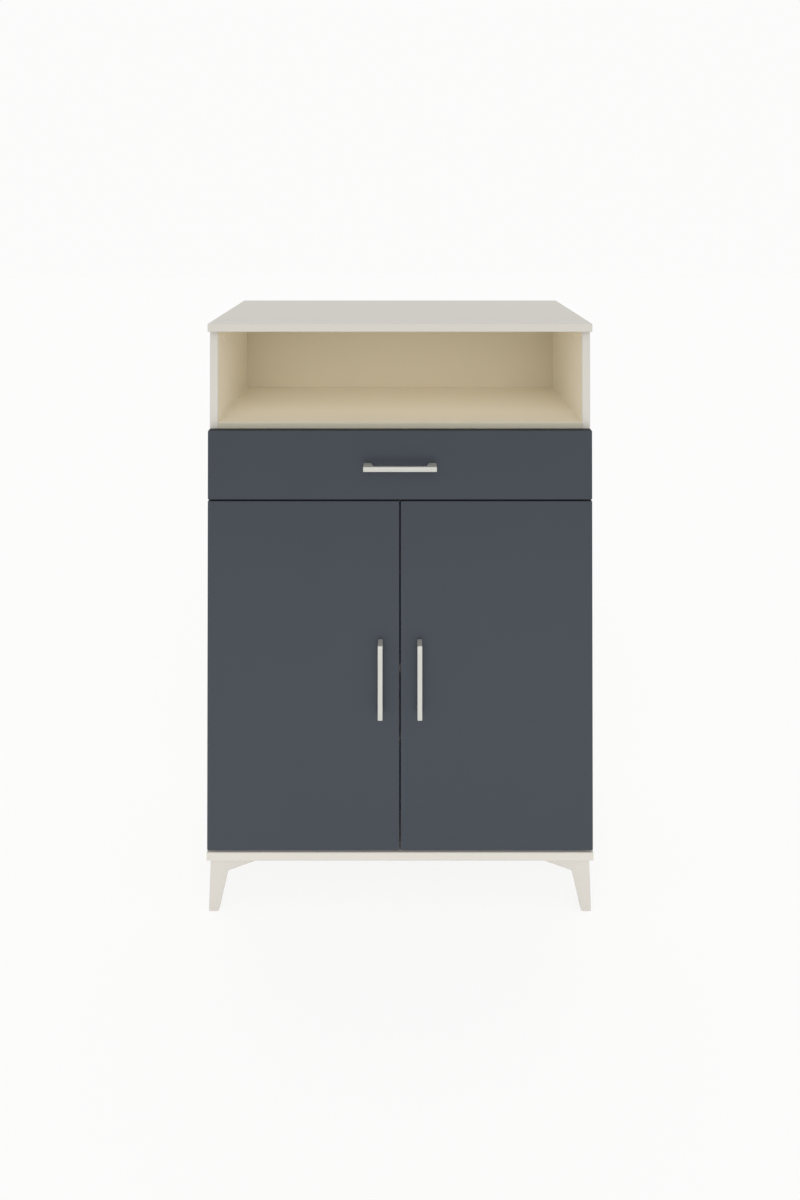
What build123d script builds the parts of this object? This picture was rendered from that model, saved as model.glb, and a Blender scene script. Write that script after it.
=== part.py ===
from build123d import *
import os

# Storage cabinet: an open niche over one drawer and a pair of doors, on moulded corner legs.
# Millimetres, +Z up, the fronts face -Y. The origin is on the floor, under the middle of the outer box.

# Cabinet body
WIDTH = 750.0
TOP_DEPTH = 350.0
SIDE_HEIGHT = 1008.0
LEG_HEIGHT = 100.0
BOARD = 16.0
EDGE_BREAK = 1.0

# Fronts
FRONT_T = 16.0
FRONT_GAP = 3.0
FRONT_JOINT = 3.0
DOOR_GAP = 2.4
DOOR_FOOT_GAP = 4.5
SIDE_REVEAL = 1.0
DRAWER_FRONT_HEIGHT = 133.75
NICHE_HEIGHT = 182.0
NICHE_OVERLAP = 6.0
BUMPER_R = 3.0
BUMPER_PLAY = 0.2
DOOR_BUMPER_X = 34.0
DRAWER_BUMPER_INSET = 29.0

# Back panel and adjustable shelf
BACK_T = 3.0
BACK_SETBACK = 37.0
GROOVE_DEPTH = 8.0
GROOVE_END_PLAY = 0.5
GROOVE_SIDE_PLAY = 0.1
BACK_PLAY = 0.5
SHELF_LEVEL = 330.0
SHELF_SETBACK = 12.0
SHELF_END_PLAY = 0.8
PIN_R = 2.5
PIN_DEPTH = 8.0
PIN_PLAY = 0.05
PIN_TONGUE = 9.0
PIN_TONGUE_T = 3.0
PIN_TONGUE_WIDTH = 10.0
PIN_INSET = 37.0
PIN_PITCH = 32.0
PIN_STEPS = (-1, 0, 1)

# Cam fittings and dowels that join the boards; hidden fasteners and their holes have few sides
PEG_SIDES = 6
BUTTON_SIDES = 12
AXLE_SIDES = 16
CAM_R = 7.5
CAM_DEPTH = 12.0
CAM_REACH = 24.0
CAM_PLAY = 0.1
BOLT_R = 3.0
BOLT_PLAY = 0.3
THREAD_R = 2.5
THREAD_PLAY = 0.02
THREAD_LENGTH = 11.0
CAP_R = 8.5
CAP_T = 0.6
DOWEL_R = 4.0
DOWEL_LENGTH = 30.0
DOWEL_IN_FACE = 11.0
DOWEL_PLAY = 0.05
HOLE_END_PLAY = 0.5
JOINT_INSET = 60.0
DOWEL_STEP = 32.0

# Bar handles
HANDLE_LENGTH = 141.5
HANDLE_BAR = 9.2
HANDLE_BAR_T = 7.0
HANDLE_REACH = 25.0
HANDLE_FOOT_BAR = 19.6
HANDLE_FOOT_BASE = 15.0
HANDLE_BREAK = 0.8
HANDLE_SCREW_INSET = 6.75
HANDLE_SCREW_R = 2.0
HANDLE_SCREW_BITE = 9.0
HANDLE_HEAD_R = 4.5
HANDLE_HEAD_H = 2.6
HANDLE_HOLE_PLAY = 0.3
DOOR_HANDLE_INSET = 36.8

# Moulded corner legs
LEG_INSET = 6.4
LEG_LEAN = 2.7
LEG_FOOT = 19.2
LEG_KNEE_IN = 34.7
LEG_KNEE_Z = 77.0
LEG_WING = 96.0
LEG_TIP = 2.0
LEG_WALL = 4.0
LEG_PLATE_T = 3.0
LEG_SOLE_T = 6.0
LEG_FLANGE = 12.0
LEG_KNEE_ROUND = 6.0
LEG_FOOT_ROUND = 4.0
LEG_CORNER_ROUND = 3.0
LEG_WEB_T = 3.0
LEG_WEB_RUN = 46.0
LEG_WEB_DROP = 40.0
LEG_SCREW_R = 2.0
LEG_SCREW_BITE = 11.0
LEG_HEAD_R = 4.0
LEG_HEAD_H = 2.4
LEG_SCREW_OFF = 14.0
LEG_SCREW_RUN = 58.0

# Cup hinges: the pivot is measured from the door's outer edge and from its rear face
PIVOT_IN = 7.5
PIVOT_DEEP = 9.5
HINGE_PIN_R = 1.3
HINGE_PIN_PLAY = 0.05
HINGE_EYE_WALL = 1.3
CUP_R = 17.5
CUP_SIDES = 24
CUP_EDGE = 3.0
CUP_DEPTH = 13.0
CUP_WALL = 0.7
CUP_FLOOR = 0.6
CUP_FIT = 0.1
CUP_LUG_T = 2.0
CUP_LUG_REACH = 2.9
CUP_FLANGE_T = 1.2
CUP_FLANGE_LENGTH = 62.0
CUP_FLANGE_WIDTH = 16.0
CUP_FLANGE_CORNER = 4.0
CUP_FLANGE_OFF = 6.0
ARM_WIDTH = 10.0
ARM_SIDE_PLAY = 0.3
ARM_T = 2.5
ARM_CLEAR = 0.7
ARM_BODY_WIDTH = 15.0
ARM_BODY_START = 9.0
ARM_BODY_END = 58.0
ARM_SHEET = 1.2
ARM_SCREW_BACK = 48.0
ARM_SCREW_R = 2.5
ARM_HEAD_R = 3.5
ARM_HEAD_H = 1.6
PLATE_T = 3.0
PLATE_WIDTH = 18.0
PLATE_START = 14.0
PLATE_END = 62.0
PLATE_WING_LENGTH = 48.0
PLATE_WING_WIDTH = 14.0
PLATE_CORNER = 2.5
PLATE_SCREW_BACK = 37.0
PLATE_SCREW_STEP = 32.0
PLATE_SCREW_R = 1.75
PLATE_SCREW_BITE = 11.0
PLATE_HEAD_R = 3.3
PLATE_HEAD_H = 1.8
HINGE_FROM_END = 90.0

# Drawer box
DRAWER_BOARD = 12.0
DRAWER_SIDE_HEIGHT = 90.0
DRAWER_BACK_ROOM = 44.0
DRAWER_BOTTOM_T = 3.0
DRAWER_GROOVE = 6.0
DRAWER_GROOVE_RISE = 10.0
DRAWER_DOWEL_R = 3.0
DRAWER_DOWEL_RISES = (28.0, 68.0)
DRAWER_SCREW_R = 1.75
DRAWER_SCREW_BITE = 24.0
DRAWER_HEAD_R = 3.5
DRAWER_HEAD_H = 2.0

# Roller runners
RUNNER_SHEET = 1.2
RUNNER_LIFT = 10.0
RUNNER_SETBACK = 2.0
RUNNER_HEADROOM = 2.0
RUNNER_CLEAR = 2.2
RUNNER_GAP = 0.8
RUNNER_RELEASE = 34.0
FLANGE_GAP = 1.3
ROLLER_R = 7.5
ROLLER_W = 6.5
ROLLER_PLAY = 0.3
ROLLER_INSET = 12.0
AXLE_R = 2.0
AXLE_PLAY = 0.05
RIVET_R = 3.2
RIVET_H = 0.8

# Places worked out from the sizes above
HALF = WIDTH / 2
INNER = HALF - BOARD
REAR_Y = (TOP_DEPTH + HANDLE_REACH) / 2
FRONT_Y = REAR_Y - TOP_DEPTH
FRONT_REAR_Y = FRONT_Y + FRONT_T
CARCASS_Y = FRONT_REAR_Y + FRONT_GAP
BACK_Y = REAR_Y - BACK_SETBACK - BACK_T
FLOOR_Z = LEG_HEIGHT + BOARD
ROOF_Z = FLOOR_Z + SIDE_HEIGHT
TOP_Z = ROOF_Z + BOARD
NICHE_Z = ROOF_Z - NICHE_HEIGHT
DRAWER_FRONT_TOP = NICHE_Z - BOARD + NICHE_OVERLAP
DRAWER_FRONT_LOW = DRAWER_FRONT_TOP - DRAWER_FRONT_HEIGHT
DOOR_TOP = DRAWER_FRONT_LOW - FRONT_JOINT
DOOR_LOW = FLOOR_Z + DOOR_FOOT_GAP
DIVIDER_Z = (DRAWER_FRONT_LOW + DOOR_TOP + BOARD) / 2
SHELF_Z = FLOOR_Z + SHELF_LEVEL
FRONT_HALF = HALF - SIDE_REVEAL
RUNNER_SPACE = 2 * RUNNER_SHEET + ROLLER_W + 2 * ROLLER_PLAY + RIVET_H + RUNNER_CLEAR
RUNNER_Z = DIVIDER_Z + RUNNER_LIFT
RUNNER_Y = CARCASS_Y + RUNNER_SETBACK
ROLLER_Z = RUNNER_Z + RUNNER_SHEET + ROLLER_PLAY + ROLLER_R
TRACK_Z = ROLLER_Z + ROLLER_R + ROLLER_PLAY
DRAWER_HALF = INNER - RUNNER_SPACE
DRAWER_INNER = DRAWER_HALF - DRAWER_BOARD
DRAWER_Z = RUNNER_Z + RUNNER_SHEET
DRAWER_REAR_Y = BACK_Y - DRAWER_BACK_ROOM
DRAWER_LENGTH = DRAWER_REAR_Y - FRONT_REAR_Y
JOINT_ROWS = ((CARCASS_Y + JOINT_INSET, DOWEL_STEP), (BACK_Y - JOINT_INSET, -DOWEL_STEP))
PIN_ROWS = (CARCASS_Y + PIN_INSET, BACK_Y - PIN_INSET)
SIDES = {"left": -1, "right": 1}
HINGE_LEVELS = {"upper": DOOR_TOP - HINGE_FROM_END, "lower": DOOR_LOW + HINGE_FROM_END}

nodes = {}
holes = {}


# Shared forms
def block(low, high):
    """Box between two opposite corners."""
    size = [b - a for a, b in zip(low, high)]
    middle = [(a + b) / 2 for a, b in zip(low, high)]
    return Pos(*middle) * Box(*size)


def peg(start, along, radius, length, sides=PEG_SIDES):
    """Bar with few sides for a pin, a fastener or its hole, turned alike wherever it runs along an axis."""
    corner = (1, 0, 0) if along[2] else (0, 0, 1)
    seat = Plane(origin=start, x_dir=corner, z_dir=along)
    return extrude(seat * RegularPolygon(radius, sides), amount=length)


def screw(seat, along, head_r, head_h, shank_r, length):
    """Head on the seat, with a shank that runs along a direction."""
    back = [-part for part in along]
    return peg(seat, back, head_r, head_h) + peg(seat, along, shank_r, length)


def bore(node, cutter):
    """Keep a hole or groove to be cut from a node once all of them are known."""
    holes.setdefault(node, []).append(cutter)


def both_sides(node, left_solid):
    """Put a left-hand solid and its mirror image in a left and a right node."""
    nodes["left_" + node] = left_solid
    nodes["right_" + node] = mirror(left_solid, about=Plane.YZ)


def front_edges(board, axis):
    """Edges of a board's front face that run along one axis."""
    return board.faces().sort_by(Axis.Y)[0].edges().filter_by(axis)


def clipped(width, height, corner):
    """Rectangle with clipped corners."""
    return chamfer(Rectangle(width, height).vertices(), corner)


# Boards of the cabinet
def carcass():
    top = block((-HALF, FRONT_Y, ROOF_Z), (HALF, REAR_Y, TOP_Z))
    nodes["top_panel"] = chamfer(top.edges(), EDGE_BREAK)
    bottom = block((-HALF, FRONT_Y, LEG_HEIGHT), (HALF, REAR_Y, FLOOR_Z))
    nodes["bottom_panel"] = chamfer(bottom.edges(), EDGE_BREAK)
    side = block((-HALF, CARCASS_Y, FLOOR_Z), (-INNER, REAR_Y, ROOF_Z))
    both_sides("side_panel", chamfer(front_edges(side, Axis.Z), EDGE_BREAK))
    levels = {"niche_floor": NICHE_Z, "drawer_divider": DIVIDER_Z}
    for name, level in levels.items():
        shelf = block((-INNER, CARCASS_Y, level - BOARD), (INNER, BACK_Y - BACK_PLAY, level))
        nodes[name] = chamfer(front_edges(shelf, Axis.X), EDGE_BREAK)
    shelf_half = INNER - SHELF_END_PLAY
    shelf = block(
        (-shelf_half, CARCASS_Y + SHELF_SETBACK, SHELF_Z),
        (shelf_half, BACK_Y - BACK_PLAY, SHELF_Z + BOARD),
    )
    nodes["adjustable_shelf"] = chamfer(front_edges(shelf, Axis.X), EDGE_BREAK)


def back_panel():
    """Thin back that slides in grooves of the sides, the top and the bottom."""
    reach = GROOVE_DEPTH - GROOVE_END_PLAY
    nodes["back_panel"] = block(
        (-INNER - reach, BACK_Y, FLOOR_Z - reach),
        (INNER + reach, BACK_Y + BACK_T, ROOF_Z + reach),
    )
    groove = block(
        (-INNER - GROOVE_DEPTH, BACK_Y - GROOVE_SIDE_PLAY, FLOOR_Z - GROOVE_DEPTH),
        (INNER + GROOVE_DEPTH, BACK_Y + BACK_T + GROOVE_SIDE_PLAY, ROOF_Z + GROOVE_DEPTH),
    )
    for board in ("left_side_panel", "right_side_panel", "top_panel", "bottom_panel"):
        bore(board, groove)


def shelf_pins():
    """Flat-topped pins under the shelf, in the middle holes of their rows."""
    pins = []
    pin_z = SHELF_Z - PIN_R
    for side, sign in SIDES.items():
        wall = sign * INNER
        for row in PIN_ROWS:
            stem = peg((wall - sign * PIN_TONGUE / 2, row, pin_z), (sign, 0, 0), PIN_R,
                       PIN_TONGUE / 2 + PIN_DEPTH)
            tongue = Pos(wall - sign * PIN_TONGUE / 2, row, SHELF_Z - PIN_TONGUE_T / 2) * Box(
                PIN_TONGUE, PIN_TONGUE_WIDTH, PIN_TONGUE_T)
            pins.append(stem + tongue)
            for step in PIN_STEPS:
                hole_z = pin_z + step * PIN_PITCH
                bore(side + "_side_panel", peg((wall, row, hole_z), (sign, 0, 0), PIN_R + PIN_PLAY,
                                               PIN_DEPTH + HOLE_END_PLAY))
    nodes["shelf_pins"] = Compound(pins)


# Fittings between the boards
def dowel(start, inward, radius, edge_board, face_board):
    """Dowel across a butt joint: it runs from the face board into the end of the edge board."""
    outward = [-part for part in inward]
    in_edge = DOWEL_LENGTH - DOWEL_IN_FACE
    bore(edge_board, peg(start, inward, radius + DOWEL_PLAY, in_edge + HOLE_END_PLAY))
    bore(face_board, peg(start, outward, radius + DOWEL_PLAY, DOWEL_IN_FACE + HOLE_END_PLAY))
    tail = Vector(start) + Vector(outward) * DOWEL_IN_FACE
    return peg(tail, inward, radius, DOWEL_LENGTH)


def cam_joint(start, inward, opening, edge_board, face_board):
    """Cam in the edge board and the bolt that it pulls on, which is screwed into the face board."""
    outward = [-part for part in inward]
    deeper = [-part for part in opening]
    middle = Vector(start) + Vector(inward) * CAM_REACH
    mouth = middle + Vector(opening) * (BOARD / 2)
    channel = peg(start, inward, BOLT_R + BOLT_PLAY, CAM_REACH)
    bore(edge_board, channel)
    bore(edge_board, peg(mouth, deeper, CAM_R + CAM_PLAY, CAM_DEPTH + HOLE_END_PLAY))
    bore(face_board, peg(start, outward, THREAD_R + THREAD_PLAY, THREAD_LENGTH + HOLE_END_PLAY))
    cam = peg(mouth, deeper, CAM_R, CAM_DEPTH) - channel
    bolt = peg(start, inward, BOLT_R, CAM_REACH) + peg(start, outward, THREAD_R, THREAD_LENGTH)
    cap = peg(mouth, opening, CAP_R, CAP_T, BUTTON_SIDES)
    return cam, bolt, cap


def board_fittings():
    """Cams and dowels in the ends of the sides, and in the ends of the niche floor and the divider."""
    cams = []
    bolts = []
    caps = []
    dowels = []
    side_middle = HALF - BOARD / 2
    middle_row = sum(row for row, step in JOINT_ROWS) / len(JOINT_ROWS)
    ends = {"top_panel": (ROOF_Z, -1), "bottom_panel": (FLOOR_Z, 1)}
    shelves = {"niche_floor": NICHE_Z - BOARD / 2, "drawer_divider": DIVIDER_Z - BOARD / 2}
    for side, sign in SIDES.items():
        side_board = side + "_side_panel"
        for face_board, (level, up) in ends.items():
            for row, step in JOINT_ROWS:
                start = (sign * side_middle, row, level)
                beside = (sign * side_middle, row + step, level)
                cam, bolt, cap = cam_joint(start, (0, 0, up), (-sign, 0, 0), side_board, face_board)
                cams.append(cam)
                bolts.append(bolt)
                caps.append(cap)
                dowels.append(dowel(beside, (0, 0, up), DOWEL_R, side_board, face_board))
        for shelf, level in shelves.items():
            start = (sign * INNER, middle_row, level)
            cam, bolt, cap = cam_joint(start, (-sign, 0, 0), (0, 0, -1), shelf, side_board)
            cams.append(cam)
            bolts.append(bolt)
            for row, step in JOINT_ROWS:
                beside = (sign * INNER, row, level)
                dowels.append(dowel(beside, (-sign, 0, 0), DOWEL_R, shelf, side_board))
    nodes["cam_locks"] = Compound(cams)
    nodes["cam_bolts"] = Compound(bolts)
    nodes["cam_caps"] = Compound(caps)
    nodes["dowels"] = Compound(dowels)


def bumpers():
    """Soft buttons on the divider's front edge, behind the doors and the drawer front."""
    door_z = (DIVIDER_Z - BOARD + DOOR_TOP) / 2
    drawer_z = (DRAWER_FRONT_LOW + DIVIDER_Z) / 2
    places = [(x * sign, z) for sign in SIDES.values()
              for x, z in ((DOOR_BUMPER_X, door_z), (INNER - DRAWER_BUMPER_INSET, drawer_z))]
    reach = FRONT_GAP - BUMPER_PLAY
    nodes["bumpers"] = Compound([
        peg((x, CARCASS_Y, z), (0, -1, 0), BUMPER_R, reach) for x, z in places])


# Moulded corner legs
def leaning_prism(points):
    """Space inside a front outline that leans with the leg, swept from front to back."""
    swept = extrude(Plane.XZ * points, amount=-2 * LEG_WING)
    return Pos(0, -LEG_WING / 2, 0) * swept


def crossed(outline):
    """What an outline leaves when it is seen from the front and from the side alike."""
    front = leaning_prism(outline)
    return front & mirror(front, about=Plane(origin=(0, 0, 0), z_dir=(1, -1, 0)))


def corner_leg():
    """Front left leg, with its outer corner at the origin where it meets the bottom panel."""
    knee = (LEG_KNEE_IN, LEG_KNEE_Z)
    inner_toe = (LEG_FOOT - LEG_LEAN, 0)
    outline = make_face(Polyline(
        (0, LEG_HEIGHT),
        (-LEG_LEAN, 0),
        inner_toe,
        knee,
        (LEG_WING, LEG_HEIGHT - LEG_TIP),
        (LEG_WING, LEG_HEIGHT),
        close=True,
    ))
    for corner, radius in ((knee, LEG_KNEE_ROUND), (inner_toe, LEG_FOOT_ROUND)):
        outline = fillet(outline.vertices().sort_by_distance(corner)[0], radius)
    body = crossed(outline)
    spine = [e for e in body.edges() if e.center().X < 0 and e.center().Y < 0 and e.length > LEG_KNEE_Z]
    body = fillet(spine, LEG_CORNER_ROUND)
    lean_rate = LEG_LEAN / LEG_HEIGHT
    roof = LEG_HEIGHT - LEG_PLATE_T
    hollow = make_face(Polyline(
        (LEG_WALL - lean_rate * LEG_PLATE_T, roof),
        (LEG_WALL - lean_rate * (LEG_HEIGHT - LEG_SOLE_T), LEG_SOLE_T),
        (2 * LEG_WING, LEG_SOLE_T),
        (2 * LEG_WING, roof),
        close=True,
    ))
    shell = body - crossed(hollow)
    far = 2 * LEG_WING
    past_flange = make_face(Polyline((LEG_WING, LEG_FLANGE), (far, LEG_FLANGE), (far, far),
                                     (LEG_FLANGE, far), (LEG_FLANGE, LEG_WING), close=True))
    shell = shell - extrude(past_flange, amount=LEG_HEIGHT)
    web_face = make_face(Polyline((0, roof), (LEG_WEB_RUN, roof), (LEG_WALL, roof - LEG_WEB_DROP),
                                  (0, roof - LEG_WEB_DROP), close=True))
    web = extrude(Plane.XZ * web_face, amount=LEG_WEB_T / 2, both=True)
    web = Pos(LEG_WALL / 2, LEG_WALL / 2, 0) * Rot(0, 0, 45) * web
    return shell + web


def legs():
    """The same leg at each corner, with a screw up through each of its wings."""
    corner = Pos(-HALF + LEG_INSET, FRONT_Y + LEG_INSET, 0)
    seat_z = LEG_HEIGHT - LEG_PLATE_T
    reach = LEG_PLATE_T + LEG_SCREW_BITE
    leg = corner * corner_leg()
    screws = []
    pilots = []
    for x, y in ((LEG_SCREW_RUN, LEG_SCREW_OFF), (LEG_SCREW_OFF, LEG_SCREW_RUN)):
        seat = (x - HALF + LEG_INSET, y + FRONT_Y + LEG_INSET, seat_z)
        screws.append(screw(seat, (0, 0, 1), LEG_HEAD_R, LEG_HEAD_H, LEG_SCREW_R, reach))
        pilots.append(peg(seat, (0, 0, 1), LEG_SCREW_R + THREAD_PLAY, reach + HOLE_END_PLAY))
    leg = leg - pilots
    across = Plane(origin=(0, (FRONT_Y + REAR_Y) / 2, 0), z_dir=(0, 1, 0))
    all_screws = []
    for row in ("front", "rear"):
        for side, sign in SIDES.items():
            def placed(solid):
                turned = solid if sign < 0 else mirror(solid, about=Plane.YZ)
                return turned if row == "front" else mirror(turned, about=across)
            nodes[row + "_" + side + "_leg"] = placed(leg)
            all_screws += [placed(s) for s in screws]
            for pilot in pilots:
                bore("bottom_panel", placed(pilot))
    nodes["leg_screws"] = Compound(all_screws)


# Fronts and their handles
def fronts():
    drawer_front = block((-FRONT_HALF, FRONT_Y, DRAWER_FRONT_LOW),
                         (FRONT_HALF, FRONT_REAR_Y, DRAWER_FRONT_TOP))
    nodes["drawer_front"] = chamfer(drawer_front.edges(), EDGE_BREAK)
    door = block((-FRONT_HALF, FRONT_Y, DOOR_LOW), (-DOOR_GAP / 2, FRONT_REAR_Y, DOOR_TOP))
    both_sides("door", chamfer(door.edges(), EDGE_BREAK))


def bar_handle():
    """Flat bar on two feet that taper towards the front they stand on; it lies along X."""
    end = HANDLE_LENGTH / 2
    under_bar = HANDLE_BAR_T - HANDLE_REACH
    outline = Polyline(
        (-end, 0),
        (-end, -HANDLE_REACH),
        (end, -HANDLE_REACH),
        (end, 0),
        (end - HANDLE_FOOT_BASE, 0),
        (end - HANDLE_FOOT_BAR, under_bar),
        (HANDLE_FOOT_BAR - end, under_bar),
        (HANDLE_FOOT_BASE - end, 0),
        close=True,
    )
    bar = extrude(make_face(outline), amount=HANDLE_BAR / 2, both=True)
    return chamfer([e for e in bar.edges() if e.center().Y < -HANDLE_BREAK], HANDLE_BREAK)


def handles():
    """Handle, screws and screw holes on the drawer front and on each door."""
    screw_x = HANDLE_LENGTH / 2 - HANDLE_SCREW_INSET
    door_x = DOOR_GAP / 2 + DOOR_HANDLE_INSET
    door_z = (DOOR_LOW + DOOR_TOP) / 2
    drawer_z = (DRAWER_FRONT_LOW + DRAWER_FRONT_TOP) / 2
    upright = Rot(0, 90, 0)
    places = {
        "drawer": ("drawer_front", Pos(0, FRONT_Y, drawer_z)),
        "left_door": ("left_door", Pos(-door_x, FRONT_Y, door_z) * upright),
        "right_door": ("right_door", Pos(door_x, FRONT_Y, door_z) * upright),
    }
    reach = FRONT_T + HANDLE_SCREW_BITE
    seats = [(sign * screw_x, FRONT_T, 0) for sign in SIDES.values()]
    for name, (board, place) in places.items():
        grips = bar_handle()
        for seat in seats:
            grips -= peg(seat, (0, -1, 0), HANDLE_SCREW_R + THREAD_PLAY, reach + HOLE_END_PLAY)
            bore(board, place * peg(seat, (0, -1, 0), HANDLE_SCREW_R + HANDLE_HOLE_PLAY, 2 * FRONT_T))
        nodes[name + "_handle"] = place * grips
        nodes[name + "_handle_screws"] = Compound([
            place * screw(seat, (0, -1, 0), HANDLE_HEAD_R, HANDLE_HEAD_H, HANDLE_SCREW_R, reach)
            for seat in seats
        ])


# Cup hinges, drawn at the left door's outer edge: x inward, y from the door's rear face into the cabinet
CUP_X = CUP_EDGE + CUP_R
PIVOT = (PIVOT_IN, -PIVOT_DEEP)
EYE_R = HINGE_PIN_R + HINGE_PIN_PLAY + HINGE_EYE_WALL
LUG_IN = ARM_WIDTH / 2 + ARM_SIDE_PLAY
LUG_OUT = LUG_IN + CUP_LUG_T
SIDE_FACE = BOARD - SIDE_REVEAL
PLATE_TOP = SIDE_FACE + PLATE_T
ARM_IN = PLATE_TOP + ARM_CLEAR + ARM_SHEET
ARM_OUT = ARM_IN + ARM_T
PLATE_SCREW_Y = FRONT_GAP + PLATE_SCREW_BACK


def hinge_cup():
    """Cup with a flange on the door and a riveted pin across its two lugs."""
    cup = peg((CUP_X, 0, 0), (0, -1, 0), CUP_R, CUP_DEPTH, CUP_SIDES)
    lug_top = CUP_LUG_REACH - PIVOT_DEEP
    lug_end = PIVOT_IN + CUP_LUG_REACH
    outline = Polyline((0, -CUP_DEPTH), (lug_end, -CUP_DEPTH), (lug_end, -PIVOT_DEEP), (PIVOT_IN, lug_top),
                       (0, lug_top), close=True)
    lug = extrude(Pos(0, 0, LUG_IN) * make_face(outline), amount=CUP_LUG_T)
    lugs = (lug + mirror(lug, about=Plane.XY)) & cup
    room = peg((CUP_X, 0, 0), (0, -1, 0), CUP_R - CUP_WALL, CUP_DEPTH - CUP_FLOOR, CUP_SIDES)
    flange_plan = Plane(origin=(CUP_X + CUP_FLANGE_OFF, 0, 0), x_dir=(1, 0, 0), z_dir=(0, 1, 0))
    flange = extrude(flange_plan * clipped(CUP_FLANGE_WIDTH, CUP_FLANGE_LENGTH, CUP_FLANGE_CORNER),
                     amount=CUP_FLANGE_T)
    mouth = peg((CUP_X, 0, 0), (0, 1, 0), CUP_R - CUP_WALL, CUP_FLANGE_T, CUP_SIDES)
    pin_reach = (LUG_IN + LUG_OUT) / 2
    pin = peg((*PIVOT, -pin_reach), (0, 0, 1), HINGE_PIN_R, 2 * pin_reach, AXLE_SIDES)
    return (cup - room) + lugs + (flange - mouth) + pin


def hinge_arm():
    """Goose-neck arm: an eye on the pin, a crank out of the cup and a channel on the plate."""
    low = -PIVOT_DEEP - ARM_T / 2
    crank = Polyline(
        (PIVOT_IN, low),
        (ARM_OUT, low),
        (ARM_OUT, ARM_BODY_START + ARM_SHEET),
        (ARM_IN, ARM_BODY_START + ARM_SHEET),
        (ARM_IN, low + ARM_T),
        (PIVOT_IN, low + ARM_T),
        close=True,
    )
    neck = make_face(crank) + Pos(*PIVOT) * RegularPolygon(EYE_R, AXLE_SIDES)
    neck = neck - Pos(*PIVOT) * RegularPolygon(HINGE_PIN_R + HINGE_PIN_PLAY, AXLE_SIDES)
    arm = extrude(neck, amount=ARM_WIDTH / 2, both=True)
    wide = ARM_BODY_WIDTH / 2
    channel = block((PLATE_TOP, ARM_BODY_START, -wide), (ARM_OUT, ARM_BODY_END, wide))
    inside = block((PLATE_TOP, ARM_BODY_START + ARM_SHEET, ARM_SHEET - wide),
                   (ARM_OUT - ARM_SHEET, ARM_BODY_END, wide - ARM_SHEET))
    return arm + (channel - inside)


def hinge_plate():
    seat = Plane(origin=(SIDE_FACE, 0, 0), x_dir=(0, 1, 0), z_dir=(1, 0, 0))
    rail = Pos((PLATE_START + PLATE_END) / 2, 0) * clipped(PLATE_END - PLATE_START, PLATE_WIDTH, PLATE_CORNER)
    wings = Pos(PLATE_SCREW_Y, 0) * clipped(PLATE_WING_WIDTH, PLATE_WING_LENGTH, PLATE_CORNER)
    return extrude(seat * (rail + wings), amount=PLATE_T)


def hinges():
    """Cup, arm, plate and plate screws at each hinge, with the holes that they need."""
    cup = hinge_cup()
    arm = hinge_arm()
    plate = hinge_plate()
    pocket = peg((CUP_X, 0, 0), (0, -1, 0), CUP_R + CUP_FIT, CUP_DEPTH + CUP_FIT, CUP_SIDES)
    plate_screws = []
    for sign in SIDES.values():
        seat = (PLATE_TOP, PLATE_SCREW_Y, sign * PLATE_SCREW_STEP / 2)
        plate_screws.append((seat, (-1, 0, 0), PLATE_SCREW_R, PLATE_T + PLATE_SCREW_BITE))
    arm_seat = (ARM_OUT, ARM_SCREW_BACK, 0)
    arm_reach = ARM_OUT - SIDE_FACE
    arm_pilot = peg(arm_seat, (-1, 0, 0), ARM_SCREW_R + THREAD_PLAY, arm_reach)
    arm_screw = screw(arm_seat, (-1, 0, 0), ARM_HEAD_R, ARM_HEAD_H, ARM_SCREW_R, arm_reach)
    plate_pilots = [peg(s, a, r + THREAD_PLAY, n + HOLE_END_PLAY) for s, a, r, n in plate_screws]
    plate = plate - plate_pilots - arm_pilot
    arm = arm - arm_pilot
    all_plate_screws = []
    for side, sign in SIDES.items():
        plates = []
        for level, height in HINGE_LEVELS.items():
            def placed(solid):
                moved = Pos(-FRONT_HALF, FRONT_REAR_Y, height) * solid
                return moved if sign < 0 else mirror(moved, about=Plane.YZ)
            name = level + "_" + side + "_hinge_"
            nodes[name + "cup"] = placed(cup)
            nodes[name + "arm"] = placed(arm)
            plates.append(placed(plate))
            all_plate_screws += [placed(screw(s, a, PLATE_HEAD_R, PLATE_HEAD_H, r, n))
                                 for s, a, r, n in plate_screws]
            all_plate_screws.append(placed(arm_screw))
            bore(side + "_door", placed(pocket))
            for pilot in plate_pilots:
                bore(side + "_side_panel", placed(pilot))
        nodes[side + "_hinge_plates"] = Compound(plates)
    nodes["hinge_plate_screws"] = Compound(all_plate_screws)


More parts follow.
